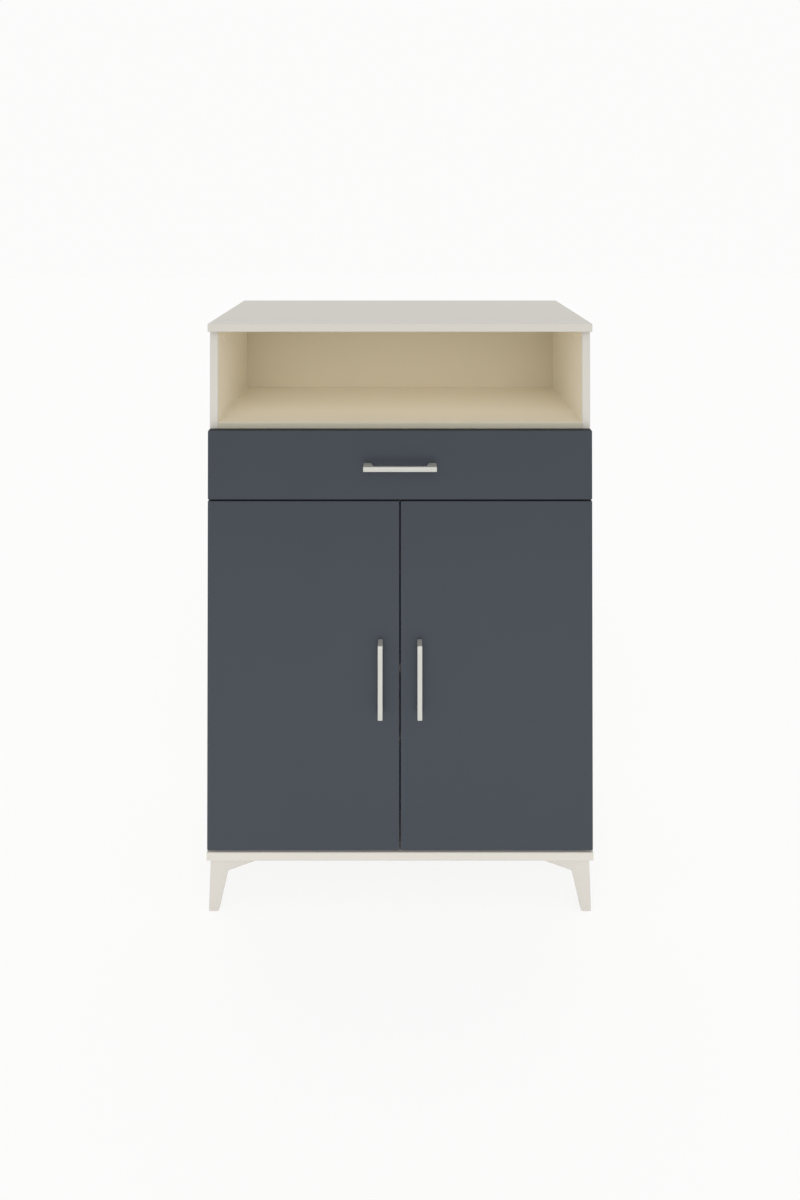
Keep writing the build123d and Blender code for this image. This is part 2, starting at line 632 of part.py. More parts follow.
# Drawer box
def drawer_box():
    top = DRAWER_Z + DRAWER_SIDE_HEIGHT
    bottom_z = DRAWER_Z + DRAWER_GROOVE_RISE
    side = block((-DRAWER_HALF, FRONT_REAR_Y, DRAWER_Z), (-DRAWER_INNER, DRAWER_REAR_Y, top))
    both_sides("drawer_side", side)
    nodes["drawer_back"] = block((-DRAWER_INNER, DRAWER_REAR_Y - DRAWER_BOARD, bottom_z + DRAWER_BOTTOM_T),
                                 (DRAWER_INNER, DRAWER_REAR_Y, top))
    reach = DRAWER_GROOVE - GROOVE_END_PLAY
    nodes["drawer_bottom"] = block((-DRAWER_INNER - reach, FRONT_REAR_Y - reach, bottom_z),
                                   (DRAWER_INNER + reach, DRAWER_REAR_Y, bottom_z + DRAWER_BOTTOM_T))
    groove = block(
        (-DRAWER_INNER - DRAWER_GROOVE, FRONT_REAR_Y - DRAWER_GROOVE, bottom_z - GROOVE_SIDE_PLAY),
        (DRAWER_INNER + DRAWER_GROOVE, DRAWER_REAR_Y, bottom_z + DRAWER_BOTTOM_T + GROOVE_SIDE_PLAY),
    )
    for board in ("drawer_front", "left_drawer_side", "right_drawer_side"):
        bore(board, groove)
    dowels = []
    screws = []
    side_middle = (DRAWER_HALF + DRAWER_INNER) / 2
    for side, sign in SIDES.items():
        board = side + "_drawer_side"
        for rise in DRAWER_DOWEL_RISES:
            start = (sign * side_middle, FRONT_REAR_Y, DRAWER_Z + rise)
            dowels.append(dowel(start, (0, 1, 0), DRAWER_DOWEL_R, board, "drawer_front"))
            sunk = DRAWER_HALF - DRAWER_HEAD_H
            seat = (sign * sunk, DRAWER_REAR_Y - DRAWER_BOARD / 2, DRAWER_Z + rise)
            reach = DRAWER_BOARD - DRAWER_HEAD_H + DRAWER_SCREW_BITE
            screws.append(screw(seat, (-sign, 0, 0), DRAWER_HEAD_R, DRAWER_HEAD_H, DRAWER_SCREW_R, reach))
            pilot = peg(seat, (-sign, 0, 0), DRAWER_SCREW_R + THREAD_PLAY, reach + HOLE_END_PLAY)
            bore(board, peg(seat, (sign, 0, 0), DRAWER_HEAD_R + DOWEL_PLAY, DRAWER_HEAD_H))
            bore(board, pilot)
            bore("drawer_back", pilot)
    nodes["drawer_dowels"] = Compound(dowels)
    nodes["drawer_back_screws"] = Compound(screws)


# Roller runners, with u measured from the side panel's inner face towards the drawer
def section(points, front_y, length):
    """Sheet section given in (u, z) on the left side panel, swept to the rear."""
    outline = Polyline(*[(u - INNER, z) for u, z in points], close=True)
    return Pos(0, front_y, 0) * extrude(Plane.XZ * make_face(outline), amount=-length)


def roller_on(u_start, row):
    """Roller with a running bore for its axle."""
    start = (u_start - INNER, row, ROLLER_Z)
    wheel = extrude(Plane(origin=start, z_dir=(1, 0, 0)) * Circle(ROLLER_R), amount=ROLLER_W)
    return wheel - peg(start, (1, 0, 0), AXLE_R + AXLE_PLAY, ROLLER_W, AXLE_SIDES)


def axle_on(u_start, along, row):
    """Riveted axle that stands on the sheet and keeps the roller from sliding off."""
    sheet = (u_start - INNER, row, ROLLER_Z)
    reach = ROLLER_W + 2 * ROLLER_PLAY
    head = (u_start - INNER + along * reach, row, ROLLER_Z)
    axle = peg(sheet, (along, 0, 0), AXLE_R, reach, AXLE_SIDES)
    return axle + peg(head, (along, 0, 0), RIVET_R, RIVET_H, BUTTON_SIDES)


def runners():
    track_u = RUNNER_SPACE - RUNNER_SHEET
    lip_u = track_u - RUNNER_GAP
    roof_z = TRACK_Z + RUNNER_SHEET + RUNNER_HEADROOM
    channel = section([
        (0, RUNNER_Z),
        (lip_u, RUNNER_Z),
        (lip_u, RUNNER_Z + RUNNER_SHEET),
        (RUNNER_SHEET, RUNNER_Z + RUNNER_SHEET),
        (RUNNER_SHEET, roof_z),
        (lip_u, roof_z),
        (lip_u, roof_z + RUNNER_SHEET),
        (0, roof_z + RUNNER_SHEET),
    ], RUNNER_Y, DRAWER_LENGTH)
    release = block((RUNNER_SHEET - INNER, RUNNER_Y, roof_z),
                    (lip_u - INNER, RUNNER_Y + RUNNER_RELEASE, roof_z + RUNNER_SHEET))
    front_row = RUNNER_Y + ROLLER_INSET
    rear_row = DRAWER_REAR_Y - ROLLER_INSET
    cabinet_runner = channel - release + axle_on(RUNNER_SHEET, 1, front_row)
    flange_u = RUNNER_SHEET + FLANGE_GAP
    drawer_runner = section([
        (track_u, RUNNER_Z),
        (RUNNER_SPACE + DRAWER_BOARD, RUNNER_Z),
        (RUNNER_SPACE + DRAWER_BOARD, DRAWER_Z),
        (RUNNER_SPACE, DRAWER_Z),
        (RUNNER_SPACE, TRACK_Z + RUNNER_SHEET),
        (flange_u, TRACK_Z + RUNNER_SHEET),
        (flange_u, TRACK_Z),
        (track_u, TRACK_Z),
    ], FRONT_REAR_Y, DRAWER_LENGTH)
    drawer_runner = drawer_runner + axle_on(track_u, -1, rear_row)
    both_sides("cabinet_runner", cabinet_runner)
    both_sides("drawer_runner", drawer_runner)
    both_sides("front_roller", roller_on(RUNNER_SHEET + ROLLER_PLAY, front_row))
    both_sides("rear_roller", roller_on(track_u - ROLLER_PLAY - ROLLER_W, rear_row))


def write_parts():
    os.makedirs("parts", exist_ok=True)
    for name, solid in nodes.items():
        if name in holes:
            solid = solid - holes[name]
        export_step(solid, "parts/" + name + ".step")


carcass()
back_panel()
shelf_pins()
board_fittings()
bumpers()
legs()
fronts()
handles()
hinges()
drawer_box()
runners()
write_parts()
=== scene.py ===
from math import pi, radians

import bmesh
import bpy
from bpy.props import FloatProperty, FloatVectorProperty, IntProperty, PointerProperty
from mathutils import Matrix, Vector


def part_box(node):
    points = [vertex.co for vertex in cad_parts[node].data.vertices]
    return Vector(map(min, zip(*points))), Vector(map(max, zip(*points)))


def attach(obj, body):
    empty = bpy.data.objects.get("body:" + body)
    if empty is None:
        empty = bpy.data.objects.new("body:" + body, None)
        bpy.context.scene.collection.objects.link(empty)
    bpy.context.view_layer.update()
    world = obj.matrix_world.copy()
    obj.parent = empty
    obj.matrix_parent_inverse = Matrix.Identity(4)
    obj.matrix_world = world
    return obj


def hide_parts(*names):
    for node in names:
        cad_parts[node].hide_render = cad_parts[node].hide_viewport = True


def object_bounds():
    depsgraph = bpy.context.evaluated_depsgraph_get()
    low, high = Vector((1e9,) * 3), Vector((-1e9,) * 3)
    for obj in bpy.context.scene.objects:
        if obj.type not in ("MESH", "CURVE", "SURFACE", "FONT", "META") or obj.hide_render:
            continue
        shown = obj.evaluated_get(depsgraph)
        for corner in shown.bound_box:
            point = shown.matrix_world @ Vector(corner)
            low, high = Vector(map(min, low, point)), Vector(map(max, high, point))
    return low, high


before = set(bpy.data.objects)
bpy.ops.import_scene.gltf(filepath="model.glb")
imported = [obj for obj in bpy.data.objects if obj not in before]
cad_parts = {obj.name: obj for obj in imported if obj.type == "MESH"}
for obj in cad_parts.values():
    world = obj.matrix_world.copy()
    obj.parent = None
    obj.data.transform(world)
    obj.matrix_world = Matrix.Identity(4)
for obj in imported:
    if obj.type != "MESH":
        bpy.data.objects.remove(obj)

bl_info = {
    "name": "Storage cabinet",
    "version": (1, 0, 0),
    "blender": (4, 5, 0),
    "location": "3D View > Sidebar > Cabinet",
    "description": "Finishes, handles and small fittings of a storage cabinet on moulded legs",
    "category": "Object",
}

CAD_LOW, CAD_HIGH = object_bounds()
SIDE_NAMES = {"left": -1, "right": 1}
LEG_NODES = [row + "_" + side + "_leg" for row in ("front", "rear") for side in SIDE_NAMES]
HINGE_NAMES = [level + "_" + side for level in ("upper", "lower") for side in SIDE_NAMES]

# Faces of the cabinet that the finishes and the small pieces are placed by
FRONT_LOW, FRONT_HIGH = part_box("left_door")
WALL_LOW, WALL_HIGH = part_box("right_side_panel")
FRONT_HALF = -FRONT_LOW.x
FRONT_Y = FRONT_LOW.y
FRONT_REAR_Y = FRONT_HIGH.y
INNER_X = WALL_LOW.x
CARCASS_Y = WALL_LOW.y
WALL_REAR_Y = WALL_HIGH.y
FLOOR_Z = WALL_LOW.z
ROOF_Z = WALL_HIGH.z
BACK_REAR_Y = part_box("back_panel")[1].y

# Margins at which a finish changes from one face of a board to the next
ON_FACE = 0.0003
REAR_SKIN = 0.0004
BOARD_END = 0.0005
# The fronts' edges, painted darker as shade, begin this far from their front and rear faces
EDGE_SHADE_MARGIN = 0.0009
BROKEN_EDGE = 0.0011

# Depth over which the niche floor is painted darker towards its front, as painted shade, and the share of its
# colour that is left there
NICHE_SHADE_DEPTH = 0.085
NICHE_SHADE_LEFT = 0.84

# Pitch of the screen that is pressed into the rear of the hardboard
SCREEN_PITCH = 0.0018

# Radius and height of each kind of screw head
HANDLE_HEAD = (0.0045, 0.0026)
LEG_HEAD = (0.004, 0.0024)
ARM_HEAD = (0.0035, 0.0016)
PLATE_HEAD = (0.0033, 0.0018)
CUP_HEAD = (0.0032, 0.0016)
DRAWER_HEAD = (0.0034, 0.002)
RUNNER_HEAD = (0.0033, 0.001)

# Shares of the modelled screw head's radius or height
HEAD_SHOULDER = 0.6
SHANK_INSET = 0.48
SHANK_LENGTH = 3.0
RECESS_ARM = 0.22
RECESS_REACH = 0.45
RECESS_FOOT = 0.45
RECESS_DEPTH = 0.7
CUTTER_HALF = 3.0

# Limits and directions for the modelling
UP = Vector((0.0, 0.0, 1.0))
FULL_SIZE = (1.0, 1.0, 1.0)
FACING = 0.9
UPRIGHT = 0.1
NEAR = 0.0001
FOOT_CORNER = 0.001
SAME_POINT = 0.000005
SAME_FACE = radians(1.0)
SHARP_EDGE = radians(30.0)
SMOOTH_ANGLE = radians(35.0)

# Portrait sensor, width and height in millimetres
SENSOR = (24.0, 36.0)


def colour(name, description, default):
    """A colour among the settings."""
    return FloatVectorProperty(name=name, description=description, default=default, subtype="COLOR", size=3,
                               min=0.0, max=1.0)


def length(name, description, default):
    """A length among the settings, in metres."""
    return FloatProperty(name=name, description=description, default=default, subtype="DISTANCE", unit="LENGTH",
                         min=0.0, precision=5)


def angle(name, description, degrees):
    """An angle among the settings, given in degrees."""
    return FloatProperty(name=name, description=description, default=radians(degrees), subtype="ANGLE",
                         unit="ROTATION")


def number(name, description, default):
    """A plain number among the settings."""
    return FloatProperty(name=name, description=description, default=default)


class CabinetColours(bpy.types.PropertyGroup):
    """Colours of the cabinet's boards, metals and plastics."""
    board_outside: colour("Board outside", "Off-white face and edge of the boards", (0.62, 0.593, 0.5375))
    # Painted light: the inside faces are written lighter and warmer than the same board outside, standing in
    # for warm bounce light in the niche's shade.
    board_inside_painted_bounce: colour("Board inside", "Warmer face inside the cabinet and the niche", (0.96, 0.89, 0.74))
    # Painted shade: the niche floor's front edge is written darker for the shade beside the drawer front.
    niche_rim_painted_shade: colour("Niche edge", "Front edge of the niche floor", (0.535, 0.502, 0.398))
    board_core: colour("Board core", "Bare chipboard at the rear edges", (0.42, 0.30, 0.18))
    front_face: colour("Fronts", "Anthracite face of the doors and the drawer", (0.04, 0.048, 0.0607))
    back_face: colour("Back, inside", "Lacquered face of the back panel", (0.738, 0.658, 0.496))
    back_rear: colour("Back, behind", "Bare hardboard at the rear of the back panel", (0.34, 0.22, 0.125))
    handle: colour("Handles", "Lacquered satin metal of the bar handles", (0.572, 0.568, 0.53))
    leg: colour("Legs", "Moulded plastic of the legs", (0.595, 0.567, 0.518))
    hinge: colour("Hinges", "Nickel plate of the hinges", (0.66, 0.65, 0.63))
    runner: colour("Runners", "Baked paint of the runners", (0.76, 0.75, 0.72))
    roller: colour("Rollers", "Undyed nylon of the rollers", (0.70, 0.69, 0.65))
    screw: colour("Screws", "Zinc plate of the screws and pins", (0.60, 0.60, 0.58))
    cam: colour("Cams", "Die-cast zinc of the cam fittings", (0.48, 0.48, 0.48))
    # The caps are written in the inside colour, with its painted bounce light, so that they match the inside
    # faces.
    cap: colour("Caps", "Plastic of the cam caps", (0.96, 0.89, 0.74))
    dowel: colour("Dowels", "Beech of the dowels", (0.52, 0.36, 0.21))
    bumper: colour("Bumpers", "Soft rubber of the bumpers", (0.42, 0.42, 0.41))


class CabinetSizes(bpy.types.PropertyGroup):
    """Sizes of the pieces that are modelled here, and places of their screws."""
    handle_bar: length("Handle bar", "Thickness of the handle's bar, front to back", 0.007)
    handle_foot_bar: length("Foot at the bar", "Length of a handle's foot where it meets the bar", 0.0196)
    handle_foot_base: length("Foot at the base", "Length of a handle's foot on the front", 0.015)
    handle_edge: length("Handle edge", "Rounding along the handle's edges", 0.0009)
    handle_screw_half: length("Handle screws", "From a handle's middle to each of its screws", 0.064)
    leg_edge: length("Leg edge", "Rounding along the legs' moulded edges", 0.0008)
    leg_lean: length("Leg lean", "How far a leg's foot stands out past its top", 0.0027)
    leg_plate: length("Leg plate", "Thickness of the plate that a leg's screws pass through", 0.003)
    leg_screw_run: length("Leg screw along", "From a leg's outer corner to a screw, along its wing", 0.058)
    leg_screw_off: length("Leg screw across", "From a leg's outer corner to a screw, across its wing", 0.014)
    steel_edge: length("Pressed edge", "Rounding along the hinges' pressed edges", 0.0003)
    cup_screw_in: length("Cup screws", "From a door's outer edge to the screws of its hinge cups", 0.0265)
    cup_screw_half: length("Cup screws apart", "From a hinge's middle to each of its cup screws", 0.024)
    arm_screw_in: length("Arm screw", "From the side panel's face to the head of a hinge arm's screw", 0.0074)
    arm_screw_back: length("Arm screw back", "From the side panel's front edge to the arm screw", 0.045)
    plate_screw_in: length("Plate screws", "From the side panel's face to the heads of the plate screws", 0.003)
    plate_screw_back: length("Plate screws back", "From the side panel's front edge to the plate screws", 0.037)
    plate_screw_half: length("Plate screws apart", "From a hinge's middle to each plate screw", 0.016)
    drawer_screw_low: length("Lower drawer screw", "Height of the lower screw in a drawer side", 0.028)
    drawer_screw_high: length("Upper drawer screw", "Height of the upper screw in a drawer side", 0.068)
    drawer_screw_sunk: length("Drawer screw depth", "How deep the heads lie in a drawer side", 0.002)
    runner_sheet: length("Runner sheet", "Thickness of the runners' sheet metal", 0.0012)
    runner_screw_front: length("Front runner screw", "From a drawer runner's front to its first screw", 0.040)
    runner_screw_apart: length("Runner screws apart", "Between the two screws of a runner", 0.170)
    runner_screw_shift: length("Cabinet runner shift", "How much further back the cabinet's screws lie", 0.002)
    screw_radius: length("Screw head", "Radius of the screw head that is modelled and copied", 0.0035)
    screw_height: length("Screw head height", "Height of the screw head that is modelled and copied", 0.0018)
    screw_sides: IntProperty(name="Screw sides", description="Sides of the screw head", default=32, min=8)
    cap_radius: length("Cap radius", "Radius of a cam cap", 0.0085)
    cap_height: length("Cap height", "How far a cam cap stands out", 0.0003)
    cap_shoulder: length("Cap shoulder", "Rounding of a cam cap's rim", 0.0002)
    bumper_radius: length("Bumper radius", "Radius of a bumper", 0.003)
    bumper_shoulder: length("Bumper shoulder", "Rounding of a bumper's rim", 0.0012)
    door_bumper_x: length("Door bumpers", "From the middle to the bumpers behind the doors", 0.034)
    drawer_bumper_in: length("Drawer bumpers", "From the side panel to a bumper behind the drawer", 0.029)
    round_sides: IntProperty(name="Round sides", description="Sides of a cap or bumper", default=40, min=8)


class CabinetStage(bpy.types.PropertyGroup):
    """Camera, floor and light."""
    camera_distance: length("Camera distance", "From the camera to the fronts", 1.495)
    camera_height: length("Camera height", "From the floor to the camera", 1.3786)
    camera_pitch: angle("Camera pitch", "Upward tilt of the camera", 0.429)
    camera_lens: number("Lens", "Focal length in millimetres", 23.0)
    camera_shift: number("Shift", "Downward shift of the frame, as in the photograph", -0.3371)
    floor_size: length("Floor", "Side of the pale floor", 24.0)
    floor_share: number("Floor share", "How far the white hides the shadow on the floor", 0.85)
    world_level: number("Surrounding light", "Level of the light from all round", 0.815)
    lamp_level: number("Lamp", "Level of the soft lamp before the front", 0.73)
    lamp_rise: angle("Lamp rise", "How far the lamp stands above the horizon", 26.0)
    lamp_angle: angle("Lamp size", "How wide the lamp looks from the cabinet", 50.0)
    low_lamp_power: number("Low lamp", "Power of the soft lamp low before the front", 1.5)
    low_lamp_distance: length("Low lamp distance", "From the low lamp to the fronts", 1.2)
    low_lamp_height: length("Low lamp height", "From the floor to the middle of the low lamp", 0.22)
    low_lamp_wide: length("Low lamp width", "Width of the low lamp", 2.0)
    low_lamp_high: length("Low lamp face", "Height of the low lamp's face", 0.3)
    low_lamp_spread: angle("Low lamp spread", "Cone that the low lamp shines into", 80.0)
    low_lamp_tilt: angle("Low lamp tilt", "Upward tilt of the low lamp", 4.0)
    sky: colour("Light all round", "Colour of the light from all round", (1.0, 1.0, 1.0))
    backdrop: colour("Backdrop", "Background that the camera and the metal see", (0.968, 0.968, 0.965))
    floor: colour("Floor colour", "Pale floor", (0.97, 0.97, 0.965))
    floor_white: colour("Floor white", "White of the floor for the camera and the metal", (0.99, 0.99, 0.987))


# Finishes
class Wire:
    """A socket of a finish; arithmetic on it adds Math nodes."""

    def __init__(self, finish, socket):
        self.finish = finish
        self.socket = socket

    def __add__(self, other):
        return self.finish.calc("ADD", self, other)

    __radd__ = __add__

    def __mul__(self, other):
        return self.finish.calc("MULTIPLY", self, other)

    __rmul__ = __mul__

    def __sub__(self, other):
        return self.finish.calc("SUBTRACT", self, other)

    def __rsub__(self, other):
        return self.finish.calc("SUBTRACT", other, self)

    def __truediv__(self, other):
        return self.finish.calc("DIVIDE", self, other)

    def __rtruediv__(self, other):
        return self.finish.calc("DIVIDE", other, self)

    def __lt__(self, other):
        return self.finish.calc("LESS_THAN", self, other)

    def __gt__(self, other):
        return self.finish.calc("GREATER_THAN", self, other)

    def __abs__(self):
        return self.finish.calc("ABSOLUTE", self)


class Finish:
    """One material, or the world, built up node by node."""

    def __init__(self, name, store="materials"):
        self.owner = getattr(bpy.data, store).new(name)
        self.owner.use_nodes = True
        self.tree = self.owner.node_tree
        self.tree.nodes.clear()

    def add(self, kind, settings=None, inputs=None, output=0):
        """Add a node: its settings first, then its inputs."""
        node = self.tree.nodes.new(kind)
        for key, value in (settings or {}).items():
            setattr(node, key, value)
        for key, value in (inputs or {}).items():
            socket = node.inputs[key]
            if isinstance(value, Wire):
                self.tree.links.new(value.socket, socket)
            elif socket.type == "RGBA":
                socket.default_value = (*value[:3], 1.0)
            else:
                socket.default_value = value
        return Wire(self, node.outputs[output]) if node.outputs else None

    def calc(self, operation, *values):
        """One step of arithmetic."""
        return self.add("ShaderNodeMath", {"operation": operation}, dict(enumerate(values)))

    def place(self):
        """Place on the object, in metres."""
        return self.add("ShaderNodeTexCoord", {}, {}, "Object")

    def axis(self, vector, letter):
        """One part of a vector."""
        return self.add("ShaderNodeSeparateXYZ", {}, {0: vector}, letter)

    def stretched(self, vector, stretch):
        """A vector scaled along its axes."""
        return self.add("ShaderNodeMapping", {"vector_type": "POINT"}, {"Vector": vector, "Scale": stretch})

    def noise(self, vector, scale, detail=2.0, roughness=0.5):
        """Soft noise from 0 to 1."""
        return self.add("ShaderNodeTexNoise", {"noise_dimensions": "3D"},
                        {"Vector": vector, "Scale": scale, "Detail": detail, "Roughness": roughness}, "Fac")

    def cells(self, vector, scale):
        """Distance to the nearest of scattered points."""
        return self.add("ShaderNodeTexVoronoi", {"feature": "F1"}, {"Vector": vector, "Scale": scale},
                        "Distance")

    def mix(self, factor, first, second):
        """A colour between two others."""
        return self.add("ShaderNodeMix", {"data_type": "RGBA", "clamp_factor": True},
                        {0: factor, 6: first, 7: second}, 2)

    def bump(self, height, strength, distance):
        """Fine relief, with its depth in metres."""
        return self.add("ShaderNodeBump", {}, {"Height": height, "Strength": strength, "Distance": distance},
                        "Normal")

    def close(self, base, rough, metal, normal, **constant):
        """End a material with its surface."""
        inputs = {"Base Color": base, "Roughness": rough, "Metallic": metal, "Normal": normal}
        inputs.update({key.replace("_", " "): value for key, value in constant.items()})
        surface = self.add("ShaderNodeBsdfPrincipled", {}, inputs)
        self.add("ShaderNodeOutputMaterial", {}, {"Surface": surface})
        return self.owner

    def in_sight(self):
        """1 for what the camera, gloss and glass see, and 0 for the light that falls on the object."""
        rays = [self.add("ShaderNodeLightPath", {}, {}, "Is " + kind + " Ray")
                for kind in ("Camera", "Glossy", "Transmission")]
        return self.calc("MINIMUM", rays[0] + rays[1] + rays[2], 1.0)


def shade(tone, factor):
    """A colour made lighter or darker."""
    return tuple(min(1.0, part * factor) for part in tone)


def white_board(colours):
    """Off-white melamine: fine pearl grain, painted lighter and warmer inside the cabinet for the bounce light
    there, bare chipboard at the rear edges.
    """
    finish = Finish("white_melamine")
    place = finish.place()
    x, y, z = [finish.axis(place, letter) for letter in "XYZ"]
    clouds = finish.noise(place, 5.0)
    pearl = finish.noise(place, 900.0, 3.0, 0.6)
    # Painted light: faces inside the cabinet take the inside colour, which is lighter and warmer for the bounce
    # light there.
    inside = (abs(x) < INNER_X + ON_FACE) * (y > CARCASS_Y + BROKEN_EDGE) * (y < BACK_REAR_Y)
    inside = inside * (z > FLOOR_Z - ON_FACE) * (z < ROOF_Z + ON_FACE)
    face = finish.mix(inside, colours.board_outside, colours.board_inside_painted_bounce)
    darker = finish.mix(inside, shade(colours.board_outside, 0.965), shade(colours.board_inside_painted_bounce, 0.955))
    face = finish.mix(0.6 * clouds + 0.4 * pearl, face, darker)
    chips = finish.cells(finish.stretched(place, (1.0, 1.0, 0.45)), 420.0)
    core = finish.mix(chips * 1.3, shade(colours.board_core, 1.25), shade(colours.board_core, 0.6))
    bare = (y > WALL_REAR_Y - REAR_SKIN) * (z > FLOOR_Z + BOARD_END) * (z < ROOF_Z - BOARD_END)
    base = finish.mix(bare, face, core)
    rough = 0.40 + 0.12 * pearl + 0.3 * bare
    normal = finish.bump(pearl + 3.0 * bare * chips, 0.12, 0.00012)
    return finish.close(base, rough, 0.0, normal, Specular_IOR_Level=0.35)


def niche_board_painted_shade(colours):
    """The niche floor's melamine, as warm as the inside colour, with painted shade that darkens it towards its
    front and on its front edge.
    """
    finish = Finish("niche_melamine_painted_shade")
    place = finish.place()
    y = finish.axis(place, "Y")
    clouds = finish.noise(place, 5.0)
    pearl = finish.noise(place, 900.0, 3.0, 0.6)
    # Painted shade: the front edge takes the darker edge colour, and the top darkens over its front few
    # centimetres.
    edge = y < CARCASS_Y + BROKEN_EDGE
    depth = (y - CARCASS_Y) / NICHE_SHADE_DEPTH
    tones = []
    for factor in (1.0, 0.955):
        inside = shade(colours.board_inside_painted_bounce, factor)
        face = finish.mix(depth, shade(colours.board_inside_painted_bounce, NICHE_SHADE_LEFT * factor), inside)
        tones.append(finish.mix(edge, face, shade(colours.niche_rim_painted_shade, factor)))
    base = finish.mix(0.6 * clouds + 0.4 * pearl, *tones)
    normal = finish.bump(pearl, 0.12, 0.00012)
    return finish.close(base, 0.40 + 0.12 * pearl, 0.0, normal, Specular_IOR_Level=0.35)


def drawer_board(colours):
    """The drawer box's melamine, as warm as the inside of the cabinet and a little darker."""
    finish = Finish("drawer_melamine")
    place = finish.place()
    clouds = finish.noise(place, 6.0)
    pearl = finish.noise(place, 900.0, 3.0, 0.6)
    # Scaled from the inside colour, so the drawer box carries that colour's painted bounce light too.
    base = finish.mix(0.6 * clouds + 0.4 * pearl,
                      shade(colours.board_inside_painted_bounce, 0.90), shade(colours.board_inside_painted_bounce, 0.84))
    normal = finish.bump(pearl, 0.12, 0.00012)
    return finish.close(base, 0.42 + 0.12 * pearl, 0.0, normal, Specular_IOR_Level=0.35)


def dark_board(colours):
    """Anthracite melamine with a fine matt grain and a faint cloud of tone, and painted shade that darkens its
    edges.
    """
    finish = Finish("anthracite_melamine")
    place = finish.place()
    clouds = finish.noise(finish.stretched(place, (1.0, 1.0, 0.6)), 4.0, 3.0)
    grain = finish.noise(place, 1100.0, 3.0, 0.65)
    specks = finish.cells(place, 1500.0)
    tone = 0.5 * clouds + 0.35 * grain + 0.15 * specks
    face = finish.mix(tone, shade(colours.front_face, 1.10), shade(colours.front_face, 0.88))
    y = finish.axis(place, "Y")
    # Painted shade: the edges of the fronts are written much darker for the shade in the gaps and on the drawer
    # front's top.
    painted_edge_shade = (y > FRONT_Y + EDGE_SHADE_MARGIN) * (y < FRONT_REAR_Y - EDGE_SHADE_MARGIN)
    base = finish.mix(painted_edge_shade, face, shade(colours.front_face, 0.45))
    rough = 0.44 + 0.14 * grain + 0.2 * painted_edge_shade
    normal = finish.bump(grain + 0.4 * specks, 0.16, 0.00012)
    return finish.close(base, rough, 0.0, normal, Specular_IOR_Level=0.3)


def thin_board(colours):
    """Hardboard: lacquered on the face, with bare fibre and a pressed screen at the rear."""
    finish = Finish("lacquered_hardboard")
    place = finish.place()
    x, y, z = [finish.axis(place, letter) for letter in "XYZ"]
    clouds = finish.noise(place, 5.0)
    skin = finish.noise(place, 600.0, 3.0, 0.6)
    lacquer = finish.mix(0.6 * clouds + 0.4 * skin,
                         shade(colours.back_face, 1.02), shade(colours.back_face, 0.95))
    behind = y > BACK_REAR_Y - REAR_SKIN
    fibre = finish.noise(finish.stretched(place, (1.0, 1.0, 2.4)), 260.0, 6.0, 0.7)
    wave = 2 * pi / SCREEN_PITCH
    screen = finish.calc("SINE", x * wave) * finish.calc("SINE", z * wave)
    board = finish.mix(0.75 * fibre + 0.25 * clouds,
                       shade(colours.back_rear, 1.35), shade(colours.back_rear, 0.62))
    base = finish.mix(behind, lacquer, board)
    rough = 0.42 + 0.1 * skin + 0.33 * behind
    normal = finish.bump(skin * (1 - behind) + behind * (0.8 * fibre + 0.25 * screen), 0.22, 0.00018)
    return finish.close(base, rough, 0.0, normal, Specular_IOR_Level=0.35)


def satin_metal(name, tone, grain):
    """Lacquered satin metal with fine lines that run along the piece."""
    finish = Finish(name)
    place = finish.place()
    lines = finish.noise(finish.stretched(place, grain), 900.0, 4.0, 0.65)
    clouds = finish.noise(place, 30.0)
    base = finish.mix(0.7 * lines + 0.3 * clouds, shade(tone, 1.06), shade(tone, 0.90))
    normal = finish.bump(lines, 0.1, 0.00008)
    return finish.close(base, 0.38 + 0.14 * lines, 0.45, normal)


def moulded_plastic(name, tone, rough_low):
    """Moulded plastic with the fine spark texture of its mould."""
    finish = Finish(name)
    place = finish.place()
    spark = finish.noise(place, 700.0, 3.0, 0.6)
    clouds = finish.noise(place, 14.0)
    base = finish.mix(0.5 * spark + 0.5 * clouds, shade(tone, 1.02), shade(tone, 0.95))
    normal = finish.bump(spark, 0.2, 0.00015)
    return finish.close(base, rough_low + 0.12 * spark, 0.0, normal, Specular_IOR_Level=0.4)


def plated_steel(name, tone, rough_low):
    """Plated steel with faint blotches and hairline scratches."""
    finish = Finish(name)
    place = finish.place()
    blotch = finish.noise(place, 90.0, 4.0, 0.6)
    hair = finish.noise(finish.stretched(place, (1.0, 0.08, 1.0)), 1600.0)
    base = finish.mix(0.6 * blotch + 0.4 * hair, shade(tone, 1.08), shade(tone, 0.86))
    normal = finish.bump(hair, 0.06, 0.00006)
    return finish.close(base, rough_low + 0.16 * blotch, 1.0, normal)


def baked_paint(colours):
    """Baked paint of the runners, with a faint orange peel."""
    finish = Finish("baked_white_paint")
    place = finish.place()
    peel = finish.noise(place, 480.0)
    clouds = finish.noise(place, 20.0)
    base = finish.mix(0.4 * peel + 0.6 * clouds, shade(colours.runner, 1.02), shade(colours.runner, 0.95))
    normal = finish.bump(peel, 0.18, 0.0002)
    return finish.close(base, 0.28 + 0.1 * peel, 0.0, normal, Specular_IOR_Level=0.5)


def beech(colours):
    """Beech with short flecks along the dowel."""
    finish = Finish("beech_dowel")
    place = finish.place()
    grain = finish.noise(finish.stretched(place, (1.0, 1.0, 0.15)), 700.0, 4.0, 0.6)
    base = finish.mix(grain, shade(colours.dowel, 1.2), shade(colours.dowel, 0.7))
    return finish.close(base, 0.55 + 0.15 * grain, 0.0, finish.bump(grain, 0.2, 0.0002))


def dress(material, *names):
    """Give CAD nodes a finish."""
    for name in names:
        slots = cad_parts[name].data.materials
        slots.clear()
        slots.append(material)


